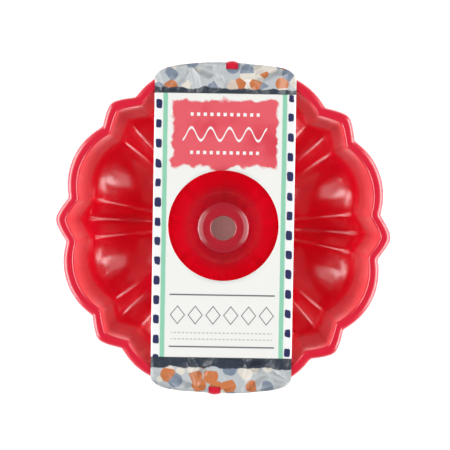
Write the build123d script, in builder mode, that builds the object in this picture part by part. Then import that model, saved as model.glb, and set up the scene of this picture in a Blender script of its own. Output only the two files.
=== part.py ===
from build123d import *
import os
from math import cos, hypot, radians, sin

# Fluted ring cake pan, drawn from one aluminium sheet, inside a card sleeve.
# Origin: middle of the footprint, at the underside of the sleeve. +Z is up, out of the pan's mouth.
# The sleeve runs along Y and slides off along X.

# ---- pan ----
flute_count = 8
flute_pitch = 360 / flute_count
pan_turn = -2.3  # the pan is not quite square in its sleeve
narrow_half_angle = 8.2  # half width of a narrow V flute
tip_reach = 0.27  # how far a V flute's valley goes past the wide lobes, as a share of the flute depth
sheet = 1.2
inside_depth = 81.6
crown_clearance = 0.4

crest_radius = 122.4
collar_radius = 116.0
collar_depth = 56.0
crown_radius = 71.0
tube_base_radius = 31.0
tube_base_depth = 46.0
tube_top_radius = 20.8
tube_top_depth = 10.0
shoulder_drop = 2.2
annulus_radius = 16.5
hole_radius = 9.8
core_radius = 5.0  # the drawn section reaches this far in, then the hole is pierced

flange_flat = 4.4
flange_width = 8.3
curl_drop = 4.2

# Inner surface between the crest and the tube: radius, depth below the crest, flute depth.
wall_stations = [
    (crest_radius, 0.0, 6.3),
    (119.9, 22.0, 6.3),
    (117.4, 44.0, 6.3),
    (collar_radius, collar_depth, 6.5),
    (113.0, 63.8, 6.8),
    (107.0, 69.2, 7.0),
    (99.5, 73.6, 7.1),
    (90.5, 77.8, 7.0),
    (81.0, 80.6, 6.7),
    (crown_radius, inside_depth, 6.0),
    (59.0, 79.6, 4.6),
    (48.5, 73.5, 2.8),
    (39.5, 62.5, 1.0),
    (tube_base_radius, tube_base_depth, 0.0),
]

# ---- sleeve ----
card = 0.5
glue = 0.1
card_gap = 0.3
sleeve_width = 111.0
window_radius = 43.5
front_half_length = 122.0
fold_reach = 129.3
fold_radius = 2.0
back_half_length = 99.0
foot_gap = 0.25
back_end = 70.0
lap_end = 45.0
glue_margin = 3.0
slot_half_width = 7.5
slot_start = 126.5
slot_drop = 7.5
hip_reach = 121.0
hip_height = 34.0
toe_reach = 116.5
toe_height = 17.5

lap_bottom = card + glue
lap_top = lap_bottom + card
tip_drop = tip_reach * 6.2  # the narrow flutes' valleys hang below the lobes at the crown
crown_bottom = lap_top + crown_clearance + tip_drop
crest_height = crown_bottom + sheet + inside_depth
front_bottom = crest_height + card_gap
front_top = front_bottom + card


def flute_share(angle):
    """Share of the flute depth at an angle from the middle of a narrow flute."""
    off = abs(angle)
    if off <= narrow_half_angle:
        return -tip_reach + (1 + tip_reach) * off / narrow_half_angle
    return ((flute_pitch / 2 - off) / (flute_pitch / 2 - narrow_half_angle)) ** 2


def wall_points(angle, outward):
    """Points down the wall at one angle, moved outward from the inner surface."""
    share = flute_share(angle)
    points = []
    for index, (radius, depth, flute_depth) in enumerate(wall_stations):
        before = wall_stations[max(index - 1, 0)]
        after = wall_stations[min(index + 1, len(wall_stations) - 1)]
        run = after[0] - before[0]
        fall = after[1] - before[1]
        size = hypot(run, fall)
        push = share * flute_depth - outward
        points.append((radius - fall / size * push, crest_height - depth - run / size * push))
    return points


def section_plane(angle):
    """Upright plane through the pan's axis, x outward and y up."""
    turn = radians(angle)
    return Plane(origin=(0, 0, 0), x_dir=(cos(turn), sin(turn), 0), z_dir=(sin(turn), -cos(turn), 0))


def pan_section(angle):
    """Closed section of the sheet at one angle from the middle of a narrow flute."""
    inner = wall_points(angle, 0)
    outer = wall_points(angle, sheet)
    crest = (inner[0][0], crest_height)
    neck = (crest[0] + sheet, crest_height - sheet)
    outer[0] = neck
    inner[0] = crest
    flat_end = (crest[0] + flange_flat, crest_height)
    lip = (crest[0] + flange_width, crest_height - curl_drop)
    lip_inside = (lip[0] - sheet, lip[1])
    flat_under = (flat_end[0], crest_height - sheet)
    top = crest_height - tube_top_depth
    shoulder = (tube_top_radius, top - shoulder_drop)
    annulus = (annulus_radius, top)
    core = (core_radius, top)
    shoulder_under = (tube_top_radius - sheet, shoulder[1] - sheet)
    annulus_under = (annulus_radius - sheet, top - sheet)
    core_under = (core_radius, top - sheet)
    tube_lean = (shoulder[0] - inner[-1][0], shoulder[1] - inner[-1][1])
    wall_lean = (inner[1][0] - crest[0], inner[1][1] - crest[1])
    with BuildSketch(section_plane(angle)) as section:
        with BuildLine():
            Line(crest, flat_end)
            TangentArc(flat_end, lip, tangent=(1, 0))
            Line(lip, lip_inside)
            TangentArc(flat_under, lip_inside, tangent=(1, 0))
            Line(flat_under, neck)
            Spline(*outer, tangents=[wall_lean, tube_lean])
            Line(outer[-1], shoulder_under)
            Line(shoulder_under, annulus_under)
            Line(annulus_under, core_under)
            Line(core_under, core)
            Line(core, annulus)
            Line(annulus, shoulder)
            Line(shoulder, inner[-1])
            Spline(*inner[::-1], tangents=[(-tube_lean[0], -tube_lean[1]), (-wall_lean[0], -wall_lean[1])])
        make_face()
    return section.sketch


narrow_angles = [-narrow_half_angle, 0, narrow_half_angle]
lobe_steps = 6
lobe_span = flute_pitch - 2 * narrow_half_angle
lobe_angles = [narrow_half_angle + lobe_span * step / lobe_steps for step in range(lobe_steps + 1)]


def lobe_section(angle):
    """Section in a wide lobe, whose angle may pass the middle of the lobe."""
    folded = min(angle, flute_pitch - angle)
    flat = pan_section(folded)
    return flat.rotate(Axis.Z, angle - folded)


with BuildPart() as narrow_flute:
    loft([pan_section(angle) for angle in narrow_angles], ruled=True)

with BuildPart() as wide_lobe:
    loft([lobe_section(angle) for angle in lobe_angles])

with BuildPart() as pan_shell:
    with PolarLocations(0, flute_count, start_angle=pan_turn):
        add(narrow_flute.part)
        add(wide_lobe.part)
    with Locations((0, 0, crest_height - tube_top_depth)):
        Hole(radius=hole_radius, depth=2 * sheet)

# ---- card sleeve ----
with BuildPart() as sleeve_front:
    with BuildSketch(Plane.XY.offset(front_bottom)):
        Rectangle(sleeve_width, 2 * front_half_length)
        Circle(window_radius, mode=Mode.SUBTRACT)
    extrude(amount=card)

with BuildPart() as sleeve_back:
    with BuildSketch(Plane.XY):
        with Locations((0, (back_end - back_half_length) / 2)):
            Rectangle(sleeve_width, back_end + back_half_length)
    extrude(amount=card)

with BuildPart() as sleeve_lap:
    with BuildSketch(Plane.XY.offset(lap_bottom)):
        with Locations((0, (lap_end + back_half_length) / 2)):
            Rectangle(sleeve_width, back_half_length - lap_end)
    extrude(amount=card)

with BuildPart() as sleeve_glue:
    with BuildSketch(Plane.XY.offset(card)):
        with Locations((0, (lap_end + back_end) / 2)):
            Rectangle(sleeve_width - 2 * glue_margin, back_end - lap_end - 2 * glue_margin)
    extrude(amount=glue)


def wrap_line(foot_height):
    """Middle line of the card from the front panel, over the rim and under the crown, in Y and Z."""
    middle = front_bottom + card / 2
    return [
        (front_half_length, middle),
        (fold_reach, middle),
        (fold_reach, crest_height - slot_drop),
        (hip_reach, hip_height),
        (toe_reach, toe_height),
        (back_half_length + foot_gap, foot_height + card / 2),
    ]


def wrap_part(name, side, foot_height):
    """One end of the sleeve, slit where a flute tip comes through."""
    tip_turn = radians(pan_turn)
    tip_x = -side * fold_reach * sin(tip_turn)
    slot_height = slot_drop + card_gap + card
    line = wrap_line(foot_height)
    foot = line[-1]
    with BuildPart() as wrap:
        with BuildSketch(Plane.YZ.offset(-sleeve_width / 2)):
            with BuildLine():
                FilletPolyline(*[(side * y, z) for y, z in line], radius=fold_radius)
            trace(line_width=card)
        extrude(amount=sleeve_width)
        with BuildSketch(Plane.XY.offset(front_top + card)):
            with Locations((tip_x, side * (slot_start + fold_reach) / 2)):
                Rectangle(2 * slot_half_width, fold_reach - slot_start + 3 * card)
        extrude(amount=-slot_height - card, mode=Mode.SUBTRACT)
    wrap.part.label = name
    return wrap.part


head_wrap = wrap_part("sleeve_head_wrap", 1, lap_bottom)
tail_wrap = wrap_part("sleeve_tail_wrap", -1, 0)

pan_shell.part.label = "pan_shell"
sleeve_front.part.label = "sleeve_front"
sleeve_back.part.label = "sleeve_back"
sleeve_lap.part.label = "sleeve_lap"
sleeve_glue.part.label = "sleeve_glue"

os.makedirs("parts", exist_ok=True)
export_step(pan_shell.part, "parts/pan_shell.step")
export_step(sleeve_front.part, "parts/sleeve_front.step")
export_step(head_wrap, "parts/sleeve_head_wrap.step")
export_step(tail_wrap, "parts/sleeve_tail_wrap.step")
export_step(sleeve_back.part, "parts/sleeve_back.step")
export_step(sleeve_lap.part, "parts/sleeve_lap.step")
export_step(sleeve_glue.part, "parts/sleeve_glue.step")
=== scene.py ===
import bpy
import bmesh
from math import atan2, cos, degrees, hypot, pi, radians, sin, sqrt
from mathutils import Matrix, Vector, kdtree, noise


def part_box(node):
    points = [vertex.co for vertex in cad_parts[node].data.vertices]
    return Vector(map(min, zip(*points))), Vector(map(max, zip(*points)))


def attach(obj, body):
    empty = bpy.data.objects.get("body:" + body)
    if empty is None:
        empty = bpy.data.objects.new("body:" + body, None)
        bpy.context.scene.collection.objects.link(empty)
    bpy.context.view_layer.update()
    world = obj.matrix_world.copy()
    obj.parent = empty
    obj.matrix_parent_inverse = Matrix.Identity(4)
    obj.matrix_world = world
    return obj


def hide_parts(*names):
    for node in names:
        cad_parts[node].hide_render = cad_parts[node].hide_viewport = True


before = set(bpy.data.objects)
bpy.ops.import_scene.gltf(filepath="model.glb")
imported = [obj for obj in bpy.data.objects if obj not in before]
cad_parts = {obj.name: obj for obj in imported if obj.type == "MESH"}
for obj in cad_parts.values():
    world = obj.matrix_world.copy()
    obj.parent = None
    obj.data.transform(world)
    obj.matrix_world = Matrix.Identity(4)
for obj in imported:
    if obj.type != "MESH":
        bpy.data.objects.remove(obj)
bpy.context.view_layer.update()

mm = 0.001
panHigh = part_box("pan_shell")[1]
frontLow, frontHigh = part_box("sleeve_front")
crest = panHigh[2]  # height of the pan's rim


def newMaterial(name):
    material = bpy.data.materials.new(name)
    material.use_nodes = True
    tree = material.node_tree
    return material, tree, tree.nodes["Principled BSDF"]


def plug(tree, socket, value):
    if isinstance(value, bpy.types.NodeSocket):
        tree.links.new(value, socket)
    else:
        socket.default_value = value


def calc(tree, operation, *values):
    node = tree.nodes.new("ShaderNodeMath")
    node.operation = operation
    for socket, value in zip(node.inputs, values):
        plug(tree, socket, value)
    return node.outputs[0]


def ramp(tree, value, low, high, start=0.0, end=1.0):
    node = tree.nodes.new("ShaderNodeMapRange")
    node.interpolation_type = "SMOOTHSTEP"
    for socket, part in zip(node.inputs, (value, low, high, start, end)):
        plug(tree, socket, part)
    return node.outputs[0]


def band(tree, value, middle, half, soft=0.3 * mm):
    away = calc(tree, "ABSOLUTE", calc(tree, "SUBTRACT", value, middle))
    return ramp(tree, away, half - soft, half + soft, 1.0, 0.0)


def both(tree, first, second):
    return calc(tree, "MULTIPLY", first, second)


def paint(tree, under, over, mask):
    node = tree.nodes.new("ShaderNodeMix")
    node.data_type = "RGBA"
    plug(tree, node.inputs[0], mask)
    plug(tree, node.inputs[6], under)
    plug(tree, node.inputs[7], over)
    return node.outputs[2]


def grain(tree, where, scale, detail=3.0):
    node = tree.nodes.new("ShaderNodeTexNoise")
    node.inputs["Scale"].default_value = scale
    node.inputs["Detail"].default_value = detail
    tree.links.new(where, node.inputs["Vector"])
    return node.outputs["Fac"]


def bumpFrom(tree, height, strength, distance):
    node = tree.nodes.new("ShaderNodeBump")
    node.inputs["Strength"].default_value = strength
    node.inputs["Distance"].default_value = distance
    tree.links.new(height, node.inputs["Height"])
    return node.outputs["Normal"]


def objectPoint(tree):
    where = tree.nodes.new("ShaderNodeTexCoord").outputs["Object"]
    split = tree.nodes.new("ShaderNodeSeparateXYZ")
    tree.links.new(where, split.inputs[0])
    return where, split.outputs[0], split.outputs[1], split.outputs[2]


redCoat = {
    "colour": (0.9, 0.002, 0.026, 1),
    "deep": (0.82, 0.001, 0.018, 1),
    # tube: darker colour for the tube and the crown next to it, painted shade where the card keeps the light
    # off
    "tube": (0.3, 0.002, 0.012, 1),
    # flange: darker colour for the flange, painted shade standing in for the dark reflection it shows
    "flange": (0.46, 0.002, 0.02, 1),
    # collar: pinker colour for the steep wall under the crest, a painted sheen
    "collar": (0.88, 0.05, 0.065, 1),
    "collarDepth": 46,
    "collarSheenFade": (8, 12),  # below and above the collar's foot
    "flangeShadeFade": (3.5, 0.8),  # below the crest
    "tubeShadeFade": (22, 44),  # radii
    "coneRadius": 59,
    "roughness": (0.2, 0.27),
    "cloud": 60,
    "orangePeel": 420,
    "peelStrength": 0.03,
    "peelHeight": 0.1,
    "mottle": 16,
    "coat": 0.6,
    "coatRoughness": 0.15,
    "sheenRoughness": 0.28,
    "sheenTint": (1, 0.88, 0.88, 1),
    "ior": 1.55,
}

# the outside of the pan is painted in deeper colours than the inside: painted shade, not a different coat
outsideShade = {
    "colour": (0.55, 0.002, 0.02, 1),
    "deep": (0.48, 0.001, 0.015, 1),
    "tube": (0.48, 0.001, 0.015, 1),
    "collar": (0.55, 0.002, 0.02, 1),
}


def makeRedCoat(s, name, sheen):
    material, tree, shader = newMaterial(name)
    where, x, y, z = objectPoint(tree)
    mottle = grain(tree, where, s["mottle"])
    shader.inputs["Roughness"].default_value = s["roughness"][0]
    colour = paint(tree, s["colour"], s["deep"], ramp(tree, mottle, 0.4, 0.7))
    collarFoot = crest - s["collarDepth"] * mm
    below, above = s["collarSheenFade"]
    # painted sheen: the wall above the collar's foot is mixed towards pink
    colour = paint(tree, colour, s["collar"], ramp(tree, z, collarFoot - below * mm, collarFoot + above * mm))
    below, above = s["flangeShadeFade"]
    # painted shade: the coat darkens towards the crest and over the flange
    colour = paint(tree, colour, s["flange"], ramp(tree, z, crest - below * mm, crest - above * mm))
    # painted shade: the coat darkens towards the tube
    reach = calc(tree, "SQRT", calc(tree, "ADD", both(tree, x, x), both(tree, y, y)))
    near, far = s["tubeShadeFade"]
    colour = paint(tree, colour, s["tube"], ramp(tree, reach, near * mm, far * mm, 1.0, 0.0))
    tree.links.new(colour, shader.inputs["Base Color"])
    rough = ramp(tree, grain(tree, where, s["cloud"], 5.0), 0.35, 0.7, *s["roughness"])
    tree.links.new(rough, shader.inputs["Roughness"])
    peel = grain(tree, where, s["orangePeel"], 2.0)
    tree.links.new(bumpFrom(tree, peel, s["peelStrength"], s["peelHeight"] * mm), shader.inputs["Normal"])
    shader.inputs["Coat Weight"].default_value = s["coat"]
    shader.inputs["Coat Roughness"].default_value = s["coatRoughness"]
    shader.inputs["Sheen Weight"].default_value = sheen
    shader.inputs["Sheen Roughness"].default_value = s["sheenRoughness"]
    shader.inputs["Sheen Tint"].default_value = s["sheenTint"]
    shader.inputs["IOR"].default_value = s["ior"]
    return material


pan = {
    "flutes": 8,
    "turn": -2.3,
    "narrowHalf": 8.2,
    "tipReach": 0.255,
    "sheet": 1.2,
    "steps": 320,
    "wallRound": 0.8,  # degrees of rounding in a V flute's valley
    "rimRound": 1.9,
    "ridgeRound": 0.07,
    "crestRadius": 122.4,
    "crestRound": 1.5,
    "flangeFlat": 4.2,
    "curl": 4.1,
    "tubeTop": 10.0,
    "holeRadius": 9.8,
    # inner surface: radius, depth under the crest, flute depth
    "wall": [
        (122.4, 0.0, 6.3), (119.9, 22.0, 6.3), (117.4, 44.0, 6.3), (116.0, 56.0, 6.5), (113.0, 63.8, 6.8),
        (107.0, 69.2, 7.0), (99.5, 73.6, 7.1), (90.5, 77.8, 7.0), (81.0, 80.6, 6.7), (71.0, 81.6, 6.0),
        (59.0, 79.6, 4.6), (48.5, 73.5, 2.8), (39.5, 62.5, 1.0), (31.0, 46.0, 0.0), (27.3, 34.0, 0.0),
        (24.0, 23.0, 0.0), (20.9, 12.9, 0.0),
    ],
    "wallCuts": 7,
    "tiltDepth": 12,  # depth over which the flutes begin to push along the wall's slope
    # the tube's rounded top: radius, drop under the top
    "shoulder": [
        (20.55, 2.1), (20.0, 1.55), (19.2, 1.2), (17.8, 0.65), (16.6, 0.2), (15.9, 0.03), (14.5, 0.0),
        (12.5, 0.0), (10.9, 0.0), (10.3, 0.12), (9.95, 0.4),
    ],
    "holeDrop": 0.8,
}


def catmull(points, steps):
    line = []
    last = len(points) - 1
    for index in range(last):
        a, b = points[max(index - 1, 0)], points[index]
        c, d = points[index + 1], points[min(index + 2, last)]
        for step in range(steps):
            t = step / steps
            line.append(tuple(
                0.5 * (2 * q + (r - p) * t + (2 * p - 5 * q + 4 * r - s) * t * t
                       + (3 * q - p - 3 * r + s) * t ** 3)
                for p, q, r, s in zip(a, b, c, d)))
    line.append(points[-1])
    return line


def fluteShare(s, angle, rounding):
    pitch = 360 / s["flutes"]
    off = abs((angle + pitch / 2) % pitch - pitch / 2)
    lift = rounding / s["narrowHalf"]
    reach = (s["tipReach"] + lift) / (1 - lift)
    narrow = -reach + (1 + reach) * sqrt(off * off + rounding * rounding) / s["narrowHalf"]
    lobe = ((pitch / 2 - off) / (pitch / 2 - s["narrowHalf"])) ** 2
    return 0.5 * (narrow + lobe - sqrt((narrow - lobe) ** 2 + s["ridgeRound"] ** 2))


def panProfile(s):
    # each entry: radius, depth, push direction, flute depth, rounding
    profile = []
    flatStart = s["crestRadius"] + s["crestRound"]
    curlStart = s["crestRadius"] + s["flangeFlat"]
    rimFlute = s["wall"][0][2]
    for step in range(10, -1, -1):
        turn = radians(9 * step)
        profile.append((curlStart + s["curl"] * sin(turn), s["curl"] * (1 - cos(turn)), (-1, 0),
                        rimFlute, s["rimRound"]))
    for share in (0.66, 0.33, 0.0):
        rounding = s["wallRound"] + (s["rimRound"] - s["wallRound"]) * share
        profile.append((flatStart + (curlStart - flatStart) * share, 0.0, (-1, 0), rimFlute, rounding))
    for step in range(1, 5):
        turn = radians(20 * step)
        profile.append((flatStart - s["crestRound"] * sin(turn), s["crestRound"] * (1 - cos(turn)), (-1, 0),
                        rimFlute, s["wallRound"]))
    wall = catmull(s["wall"], s["wallCuts"])
    for index in range(1, len(wall)):
        radius, depth, flute = wall[index]
        before, after = wall[index - 1], wall[min(index + 1, len(wall) - 1)]
        run, fall = after[0] - before[0], after[1] - before[1]
        size = hypot(run, fall)
        slope = min(depth / s["tiltDepth"], 1)
        profile.append((radius, depth, (-fall / size, -run / size * slope), max(flute, 0), s["wallRound"]))
    top = s["tubeTop"]
    shoulder = s["shoulder"] + [(s["holeRadius"], s["holeDrop"])]
    profile += [(radius, top + drop, (0, 0), 0, 1) for radius, drop in shoulder]
    return profile


def buildPan(s, materials):
    profile = panProfile(s)
    bm = bmesh.new()
    verts = [bm.verts.new((radius * mm, 0, crest - depth * mm)) for radius, depth, *rest in profile]
    edges = [bm.edges.new(pair) for pair in zip(verts, verts[1:])]
    tree = kdtree.KDTree(len(verts))
    for index, vert in enumerate(verts):
        tree.insert(vert.co, index)
    tree.balance()
    bmesh.ops.spin(bm, geom=verts + edges, cent=(0, 0, 0), axis=(0, 0, 1), angle=2 * pi, steps=s["steps"],
                   use_merge=True, use_duplicate=False)
    bmesh.ops.remove_doubles(bm, verts=bm.verts, dist=1e-6)
    for vert in bm.verts:
        radius = hypot(vert.co.x, vert.co.y)
        turn = atan2(vert.co.y, vert.co.x)
        index = tree.find((radius, 0, vert.co.z))[1]
        direction, flute, rounding = profile[index][2:]
        if flute:
            push = fluteShare(s, degrees(turn) - s["turn"], rounding) * flute * mm
            radius += direction[0] * push
            vert.co = (radius * cos(turn), radius * sin(turn), vert.co.z + direction[1] * push)
    bmesh.ops.recalc_face_normals(bm, faces=bm.faces)
    rim = max(bm.faces, key=lambda face: face.calc_center_median().z)
    if rim.normal.z < 0:
        bmesh.ops.reverse_faces(bm, faces=bm.faces)
    for face in bm.faces:
        face.smooth = True
        middle = face.calc_center_median()
        # faces near the tube take the shaded copy of the coat
        if hypot(middle.x, middle.y) < redCoat["coneRadius"] * mm:
            face.material_index = 1
    mesh = bpy.data.meshes.new("flutedPan")
    bm.to_mesh(mesh)
    bm.free()
    piece = bpy.data.objects.new("flutedPan", mesh)
    bpy.context.collection.objects.link(piece)
    for material in materials:
        mesh.materials.append(material)
    wall = piece.modifiers.new("sheet", "SOLIDIFY")
    wall.thickness = s["sheet"] * mm
    wall.offset = -1
    wall.material_offset = 2  # the outside takes the deeper coat, which is painted shade
    return piece


print("pan")
wallCoat = makeRedCoat(redCoat, "wallCoat", 1.0)
# coneCoat is a shaded copy of the coat with almost no sheen, painted shade where the card keeps the light off
# the cone
coneCoat = makeRedCoat(redCoat, "coneCoat", 0.05)
outerCoat = makeRedCoat({**redCoat, **outsideShade}, "outerCoat", 0.3)
flutedPan = buildPan(pan, (wallCoat, coneCoat, outerCoat, outerCoat))
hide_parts("pan_shell")
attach(flutedPan, "pan")


card = {
    "white": (0.55, 0.55, 0.531, 1),
    "margin": (0.576, 0.576, 0.576, 1),
    "mint": (0.173, 0.397, 0.281, 1),
    "navy": (0.00768, 0.00894, 0.0576, 1),
    "patch": (0.499, 0.064, 0.0828, 1),
    "patchDeep": (0.435, 0.0192, 0.0384, 1),
    "night": (0.0115, 0.0192, 0.032, 1),
    "chipPale": (0.32, 0.339, 0.352, 1),
    "chipGrey": (0.128, 0.16, 0.211, 1),
    "cream": (0.48, 0.448, 0.397, 1),
    "orange": (0.384, 0.115, 0.032, 1),
    "ink": (0.1, 0.1, 0.11, 1),
    "faintInk": (0.32, 0.32, 0.33, 1),
    "endBand": 3.5,
    "stripeAt": 46.8,
    "stripeHalf": 1.8,
    "dabAt": 51.8,
    "dabPitch": 15.4,
    "dabSize": (2.5, 3.6),
    "dabLean": 0.09,
    "panelTop": 106.0,
    "panelBottom": -102.0,
    "patchMiddle": (0.0, 74.0),
    "patchHalf": (41.0, 26.5),
    "patchRagged": 16,
    "wavePitch": 15,
    "waveHeight": 5,
    "waveHalf": 33,
    "beadRows": (15.5, -14.5),
    "beadPitch": 2.6,
    "beadHalf": 27,
    "rules": (-52.5, -93.5),
    "dottedRows": (-82.5, -87.5),
    "diamondRow": -68.5,
    "diamondPitch": 7,
    "diamondSize": 5.6,
    "rowHalf": 41.5,
    "chipScale": 105,
    "creaseScale": 48,
    "creaseHeight": 4,
}


def makeCardPrint(s):
    material, tree, shader = newMaterial("cardPrint")
    where, x, y, z = objectPoint(tree)
    across = calc(tree, "ABSOLUTE", x)
    waver = calc(tree, "MULTIPLY", calc(tree, "SUBTRACT", grain(tree, where, 90, 4.0), 0.5), 5 * mm)
    colour = paint(tree, s["white"], s["margin"], ramp(tree, across, 49 * mm, 50.5 * mm))
    stripe = band(tree, calc(tree, "ADD", across, calc(tree, "MULTIPLY", waver, 0.12)), s["stripeAt"] * mm,
                  s["stripeHalf"] * mm)
    colour = paint(tree, colour, s["mint"], stripe)
    # loose brush dabs down both margins
    leaning = calc(tree, "ADD", y, calc(tree, "MULTIPLY", x, s["dabLean"]))
    cell = calc(tree, "PINGPONG", leaning, s["dabPitch"] / 2 * mm)
    dabY = calc(tree, "DIVIDE", cell, s["dabSize"][1] * mm)
    dabX = calc(tree, "DIVIDE", calc(tree, "SUBTRACT", across, s["dabAt"] * mm), s["dabSize"][0] * mm)
    dabReach = calc(tree, "ADD", calc(tree, "POWER", dabY, 4.0),
                    calc(tree, "POWER", calc(tree, "ABSOLUTE", dabX), 4.0))
    dabReach = calc(tree, "ADD", dabReach, calc(tree, "MULTIPLY", waver, 550.0))
    dab = ramp(tree, dabReach, 0.7, 1.1, 1.0, 0.0)
    colour = paint(tree, colour, s["navy"], dab)
    # brushed colour patch with ragged ends
    px = calc(tree, "SUBTRACT", x, s["patchMiddle"][0] * mm)
    py = calc(tree, "SUBTRACT", y, s["patchMiddle"][1] * mm)
    ragged = calc(tree, "MULTIPLY", calc(tree, "SUBTRACT", grain(tree, where, 70, 5.0), 0.5),
                  s["patchRagged"] * mm)
    patch = both(tree, band(tree, calc(tree, "ADD", px, ragged), 0.0, s["patchHalf"][0] * mm, 1.2 * mm),
                 band(tree, calc(tree, "ADD", py, ragged), 0.0, s["patchHalf"][1] * mm, 1.2 * mm))
    wash = paint(tree, s["patch"], s["patchDeep"], ramp(tree, grain(tree, where, 38, 6.0), 0.4, 0.75))
    colour = paint(tree, colour, wash, patch)
    # plain ornament on the patch: a wave between two rows of dots
    swing = calc(tree, "SINE", calc(tree, "MULTIPLY", px, 2 * pi / (s["wavePitch"] * mm)))
    wave = calc(tree, "MULTIPLY", swing, s["waveHeight"] * mm)
    ornament = both(tree, band(tree, calc(tree, "SUBTRACT", py, wave), 0.0, 1.0 * mm),
                    band(tree, px, 0.0, s["waveHalf"] * mm))
    beads = calc(tree, "PINGPONG", px, s["beadPitch"] * mm)
    for row in s["beadRows"]:
        dots = both(tree, ramp(tree, calc(tree, "ABSOLUTE", beads), 1.1 * mm, 1.4 * mm, 1.0, 0.0),
                    band(tree, py, row * mm, 1.3 * mm))
        ornament = calc(tree, "MAXIMUM", ornament, both(tree, dots, band(tree, px, 0.0, s["beadHalf"] * mm)))
    colour = paint(tree, colour, s["margin"], ornament)
    # thin rules with a row of diamonds between them
    for rule in s["rules"]:
        line = both(tree, band(tree, y, rule * mm, 0.6 * mm, 0.2 * mm),
                    band(tree, x, 0.0, s["rowHalf"] * mm))
        colour = paint(tree, colour, s["ink"], line)
    pitch = s["diamondPitch"] * mm
    diamondX = calc(tree, "PINGPONG", calc(tree, "ADD", x, pitch), pitch)
    diamondY = calc(tree, "ABSOLUTE", calc(tree, "SUBTRACT", y, s["diamondRow"] * mm))
    diamondReach = calc(tree, "ADD", diamondX, calc(tree, "MULTIPLY", diamondY, 0.8))
    diamond = both(tree, band(tree, diamondReach, s["diamondSize"] * mm, 0.45 * mm, 0.2 * mm),
                   band(tree, x, 0.0, s["rowHalf"] * mm))
    colour = paint(tree, colour, s["ink"], diamond)
    stitch = ramp(tree, calc(tree, "PINGPONG", x, 1.6 * mm), 0.5 * mm, 0.7 * mm)
    for row in s["dottedRows"]:
        dotted = both(tree, both(tree, band(tree, y, row * mm, 0.5 * mm), stitch),
                      band(tree, x, 0.0, 40 * mm))
        colour = paint(tree, colour, s["faintInk"], dotted)
    # ends that wrap over the rim: a dark band, then stone chips
    chips = tree.nodes.new("ShaderNodeTexVoronoi")
    chips.inputs["Scale"].default_value = s["chipScale"]
    chips.inputs["Randomness"].default_value = 1.0
    tree.links.new(where, chips.inputs["Vector"])
    pick = tree.nodes.new("ShaderNodeSeparateColor")
    tree.links.new(chips.outputs["Color"], pick.inputs[0])
    endColour = paint(tree, s["chipPale"], s["cream"], ramp(tree, pick.outputs[0], 0.5, 0.6))
    endColour = paint(tree, endColour, s["orange"], ramp(tree, pick.outputs[1], 0.66, 0.67))
    endColour = paint(tree, endColour, s["chipGrey"], ramp(tree, pick.outputs[2], 0.8, 0.81))
    edge = ramp(tree, chips.outputs["Distance"], 0.6, 0.66)
    endColour = paint(tree, endColour, s["chipPale"], edge)
    inner = calc(tree, "SUBTRACT", calc(tree, "ABSOLUTE", y), 2.0 * mm)
    bandEdge = calc(tree, "ADD", inner, calc(tree, "MULTIPLY", waver, 1.5))
    darkHead = ramp(tree, bandEdge, (s["panelTop"] - 2 + s["endBand"]) * mm,
                    (s["panelTop"] - 1 + s["endBand"]) * mm, 1.0, 0.0)
    darkTail = ramp(tree, bandEdge, (2 - s["panelBottom"] + s["endBand"]) * mm,
                    (3 - s["panelBottom"] + s["endBand"]) * mm, 1.0, 0.0)
    dark = both(tree, paint(tree, darkTail, darkHead, calc(tree, "GREATER_THAN", y, 0.0)),
                calc(tree, "GREATER_THAN", z, crest - 5 * mm))
    endColour = paint(tree, endColour, s["night"], dark)
    ends = calc(tree, "MAXIMUM", ramp(tree, y, (s["panelTop"] - 0.3) * mm, (s["panelTop"] + 0.3) * mm),
                ramp(tree, y, (s["panelBottom"] - 0.3) * mm, (s["panelBottom"] + 0.3) * mm, 1.0, 0.0))
    colour = paint(tree, colour, endColour, ends)
    tree.links.new(colour, shader.inputs["Base Color"])
    tree.links.new(ramp(tree, grain(tree, where, 150, 4.0), 0.3, 0.7, 0.38, 0.5), shader.inputs["Roughness"])
    creases = tree.nodes.new("ShaderNodeTexVoronoi")
    creases.feature = "DISTANCE_TO_EDGE"
    creases.inputs["Scale"].default_value = s["creaseScale"]
    tree.links.new(where, creases.inputs["Vector"])
    folds = calc(tree, "ADD", ramp(tree, creases.outputs[0], 0.0, 0.3), grain(tree, where, 70, 2.0))
    height = calc(tree, "ADD", both(tree, folds, ends),
                  calc(tree, "MULTIPLY", grain(tree, where, 900, 3.0), 0.003))
    tree.links.new(bumpFrom(tree, height, 1.0, s["creaseHeight"] * mm), shader.inputs["Normal"])
    shader.inputs["Coat Weight"].default_value = 0.15
    shader.inputs["Coat Roughness"].default_value = 0.3
    return material


def makeRawCard():
    material, tree, shader = newMaterial("rawCard")
    where = objectPoint(tree)[0]
    fibres = grain(tree, where, 260, 6.0)
    colour = paint(tree, (0.62, 0.6, 0.56, 1), (0.72, 0.7, 0.66, 1), fibres)
    tree.links.new(colour, shader.inputs["Base Color"])
    tree.links.new(bumpFrom(tree, fibres, 0.2, 0.0001), shader.inputs["Normal"])
    shader.inputs["Roughness"].default_value = 0.8
    return material


def makeGlueFilm():
    material, tree, shader = newMaterial("glueFilm")
    where = objectPoint(tree)[0]
    streaks = grain(tree, where, 180, 4.0)
    colour = paint(tree, (0.7, 0.66, 0.5, 1), (0.82, 0.8, 0.7, 1), streaks)
    tree.links.new(colour, shader.inputs["Base Color"])
    tree.links.new(bumpFrom(tree, streaks, 0.3, 0.0001), shader.inputs["Normal"])
    shader.inputs["Roughness"].default_value = 0.35
    return material


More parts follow.
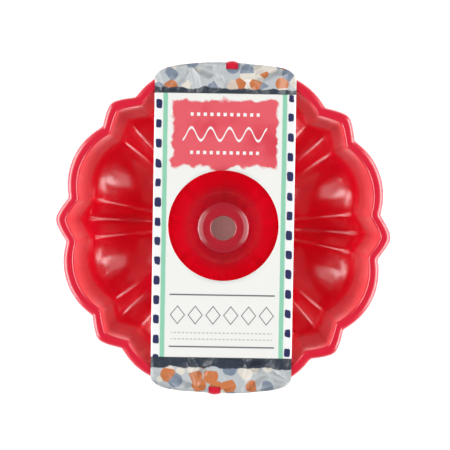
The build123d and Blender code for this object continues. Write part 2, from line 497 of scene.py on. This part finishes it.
sleeve = {
    "halfWidth": 55.5,
    "window": 43.5,
    "windowShift": 2.2,  # towards the head of the sleeve
    "halfLength": 112.0,
    "card": 0.5,
    "acrossCells": 80,
    "alongCells": 120,
    "ringCells": 16,
    "foldMiddle": 130.2,
    "foldBow": 5.0,
    "cornerDrop": 6.0,
    "foldRound": 3.2,
    "slotHalf": 4.6,
    "crumple": 1.5,
    "hip": (121.0, 34.0),
    "toe": (116.5, 17.5),
    "foot": 99.2,
}
frontMiddle = (frontLow[2] + frontHigh[2]) / 2


def buildFrontPanel(s, bm):
    steps = 2 * (s["acrossCells"] + s["alongCells"])
    windowRadius = s["window"] * mm
    start = [bm.verts.new((windowRadius * (1 + ring / s["ringCells"]), 0, frontMiddle))
             for ring in range(s["ringCells"] + 1)]
    edges = [bm.edges.new(pair) for pair in zip(start, start[1:])]
    bmesh.ops.spin(bm, geom=start + edges, cent=(0, 0, 0), axis=(0, 0, 1), angle=2 * pi, steps=steps,
                   use_merge=True, use_duplicate=False)
    bmesh.ops.remove_doubles(bm, verts=bm.verts, dist=1e-6)
    halfX, halfY = s["halfWidth"] * mm, s["halfLength"] * mm
    for vert in bm.verts:
        share = hypot(vert.co.x, vert.co.y) / windowRadius - 1
        step = round((atan2(vert.co.y, vert.co.x) % (2 * pi)) / (2 * pi) * steps) % steps
        border = Vector(borderPoint(step, s, halfX, halfY))
        inner = Vector((0, s["windowShift"] * mm)) + border.normalized() * windowRadius
        spot = inner.lerp(border, share)
        vert.co = (spot.x, spot.y, frontMiddle)


def borderPoint(step, s, halfX, halfY):
    # walks the panel's border from the middle of its right side
    along, across = s["alongCells"], s["acrossCells"]
    if step <= along / 2:
        return (halfX, halfY * step / (along / 2))
    step -= along / 2
    if step <= across:
        return (halfX * (1 - 2 * step / across), halfY)
    step -= across
    if step <= along:
        return (-halfX, halfY * (1 - 2 * step / along))
    step -= along
    if step <= across:
        return (halfX * (2 * step / across - 1), -halfY)
    step -= across
    return (halfX, -halfY * (1 - step / (along / 2)))


def wrapPath(s, side, x, footHeight):
    share = x / (s["halfWidth"] * mm)
    drop = s["foldBow"] * share ** 2 + s["cornerDrop"] * share ** 12
    bulge = s["foldMiddle"] - drop
    top = frontMiddle / mm
    rounding = s["foldRound"]
    line = [(s["halfLength"] + (bulge - rounding - s["halfLength"]) * step / 8, top) for step in range(9)]
    for step in range(1, 7):
        turn = radians(13.5 * step)
        line.append((bulge - rounding + rounding * sin(turn), top - rounding * (1 - cos(turn))))
    hip, toe = s["hip"], s["toe"]
    corners = [(bulge - 0.6, crest / mm - 8.5), (hip[0] - 0.8 * drop, hip[1]), (toe[0] - 0.4 * drop, toe[1]),
               (s["foot"], footHeight)]
    for before, after in zip([line[-1]] + corners, corners):
        cells = 3 if before == line[-1] else 9
        line += [tuple(b + (a - b) * step / cells for a, b in zip(after, before))
                 for step in range(1, cells + 1)]
    return [(side * y * mm, z * mm) for y, z in line]


def buildWrap(s, bm, side, footHeight):
    rows = len(wrapPath(s, side, 0, footHeight))
    made = bmesh.ops.create_grid(bm, x_segments=s["acrossCells"], y_segments=rows - 1, size=0.5)["verts"]
    tipX = -side * s["foldMiddle"] * mm * sin(radians(pan["turn"]))
    columns = s["halfWidth"] * 2 * mm
    for vert in made:
        x = vert.co.x * columns
        row = round((vert.co.y + 0.5) * (rows - 1))
        y, z = wrapPath(s, side, x, footHeight)[row]
        broad = noise.noise(Vector((x * 38, y * 38 + side * 7, z * 30)))
        fine = noise.noise(Vector((x * 90, y * 90, z * 60)))
        rough = broad + 0.5 * fine
        away = min(max(row - 3, 0) / 8, 1) * min((rows - 1 - row) / 8, 1)
        lift = (rough * 0.6 + 0.15) * s["crumple"] * mm * away
        down = min(max(row - 9, 0) / 5, 1)
        vert.co = (x, y + side * lift * down * 0.6, z + lift * (1 - down) * 0.35)
    # the slit that the flute tip comes through
    slit = []
    for face in {face for vert in made for face in vert.link_faces}:
        middle = face.calc_center_median()
        onFold = abs(middle.y) > (s["foldMiddle"] - 4.5) * mm and middle.z > crest - 7.5 * mm
        if onFold and abs(middle.x - tipX) < s["slotHalf"] * mm:
            slit.append(face)
    bmesh.ops.delete(bm, geom=slit, context="FACES")


def panelHeight(face):
    middle = face.calc_center_median()
    return middle.z + (0.001 if abs(middle.y) < 0.1 else 0)


def buildSleeve(s, printMaterial, rawMaterial):
    bm = bmesh.new()
    buildFrontPanel(s, bm)
    lapLow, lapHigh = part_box("sleeve_lap")
    backLow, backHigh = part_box("sleeve_back")
    buildWrap(s, bm, 1, (lapLow[2] + lapHigh[2]) / 2 / mm)
    buildWrap(s, bm, -1, (backLow[2] + backHigh[2]) / 2 / mm)
    bmesh.ops.remove_doubles(bm, verts=bm.verts, dist=0.00003)
    bmesh.ops.recalc_face_normals(bm, faces=bm.faces)
    topFace = max(bm.faces, key=panelHeight)
    if topFace.normal.z < 0:
        bmesh.ops.reverse_faces(bm, faces=bm.faces)
    for face in bm.faces:
        face.smooth = True
    mesh = bpy.data.meshes.new("cardSleeve")
    bm.to_mesh(mesh)
    bm.free()
    piece = bpy.data.objects.new("cardSleeve", mesh)
    bpy.context.collection.objects.link(piece)
    mesh.materials.append(printMaterial)
    mesh.materials.append(rawMaterial)
    wall = piece.modifiers.new("card", "SOLIDIFY")
    wall.thickness = s["card"] * mm
    wall.offset = 0
    wall.material_offset = 1
    wall.material_offset_rim = 1
    return piece


print("sleeve")
cardPrint = makeCardPrint(card)
rawCard = makeRawCard()
cardSleeve = buildSleeve(sleeve, cardPrint, rawCard)
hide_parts("sleeve_front", "sleeve_head_wrap", "sleeve_tail_wrap")
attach(cardSleeve, "sleeve")


def dress(node, material):
    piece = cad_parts[node]
    if not piece.material_slots:
        piece.data.materials.append(material)
    for materialSlot in piece.material_slots:
        materialSlot.material = material


dress("sleeve_back", rawCard)
dress("sleeve_lap", rawCard)
dress("sleeve_glue", makeGlueFilm())

print("studio")
studio = {
    "floorSize": 6.0,
    "boxAt": (1.08, 0.0, 0.56),
    "boxSize": (1.5, 0.6),
    "boxPower": 25.0,
    "fillAt": (0.78, 0.0, 1.05),
    "fillSize": (1.3, 0.45),
    "fillPower": 3.0,
    "sky": 0.42,
    "overhead": 0.2,
    "underPower": 0.008,
    "underSize": 8,
    "underAt": (14, 0, 50),
    "underColour": (1, 0.6, 0.6),
    "floorDrop": 0.3,
    "floorGlow": 0.1,
    "distance": 1.15,
    "tilt": 1.75,
    "roll": 0.95,
    "viewWidth": 0.354,
    "aimShift": (0.0013, 0.0028),
}

bm = bmesh.new()
bmesh.ops.create_grid(bm, x_segments=2, y_segments=2, size=studio["floorSize"] / 2)
floorMesh = bpy.data.meshes.new("floor")
bm.to_mesh(floorMesh)
bm.free()
floor = bpy.data.objects.new("floor", floorMesh)
floorMesh.transform(Matrix.Translation((0, 0, -studio["floorDrop"] * mm)))
bpy.context.collection.objects.link(floor)
floorMaterial, floorTree, floorShader = newMaterial("paleFloor")
floorShader.inputs["Base Color"].default_value = (0.93, 0.93, 0.93, 1)
floorShader.inputs["Roughness"].default_value = 0.9
floorShader.inputs["Emission Color"].default_value = (1, 1, 1, 1)
floorShader.inputs["Emission Strength"].default_value = studio["floorGlow"]
floorMesh.materials.append(floorMaterial)


def addSoftbox(place, size, power):
    light = bpy.data.lights.new("softbox", "AREA")
    light.shape = "RECTANGLE"
    light.size, light.size_y = size
    light.energy = power
    lamp = bpy.data.objects.new("softbox", light)
    lamp.location = place
    lamp.rotation_euler = (Vector((0, 0, crest)) - Vector(place)).to_track_quat("-Z", "Y").to_euler()
    bpy.context.collection.objects.link(lamp)


for side in (-1, 1):
    for role in ("box", "fill"):
        x, y, z = studio[role + "At"]
        addSoftbox((x * side, y, z), studio[role + "Size"], studio[role + "Power"])

# a little light under the tube, so that the card shows through the hole
under = bpy.data.lights.new("underTube", "AREA")
under.size = studio["underSize"] * mm
under.energy = studio["underPower"]
under.color = studio["underColour"]
underLamp = bpy.data.objects.new("underTube", under)
underLamp.location = [part * mm for part in studio["underAt"]]
bpy.context.collection.objects.link(underLamp)

world = bpy.data.worlds.new("studio")
world.use_nodes = True
sky = world.node_tree
direction = sky.nodes.new("ShaderNodeTexCoord").outputs["Generated"]
height = sky.nodes.new("ShaderNodeSeparateXYZ")
sky.links.new(direction, height.inputs[0])
sky.nodes["Background"].inputs[0].default_value = (1, 1, 1, 1)
sky.links.new(ramp(sky, height.outputs[2], 0.45, 0.8, studio["sky"], studio["overhead"]),
              sky.nodes["Background"].inputs[1])
bpy.context.scene.world = world
bpy.context.scene.view_settings.view_transform = "Standard"

cameraData = bpy.data.cameras.new("camera")
cameraData.sensor_width = 36
cameraData.lens = 36 * studio["distance"] / studio["viewWidth"]
camera = bpy.data.objects.new("camera", cameraData)
aim = Vector((studio["aimShift"][0], studio["aimShift"][1], crest))
turn = Matrix.Rotation(radians(studio["roll"]), 3, "Z") @ Matrix.Rotation(radians(-studio["tilt"]), 3, "X")
camera.rotation_euler = turn.to_euler()
camera.location = aim + turn @ Vector((0, 0, studio["distance"]))
bpy.context.collection.objects.link(camera)
bpy.context.scene.camera = camera
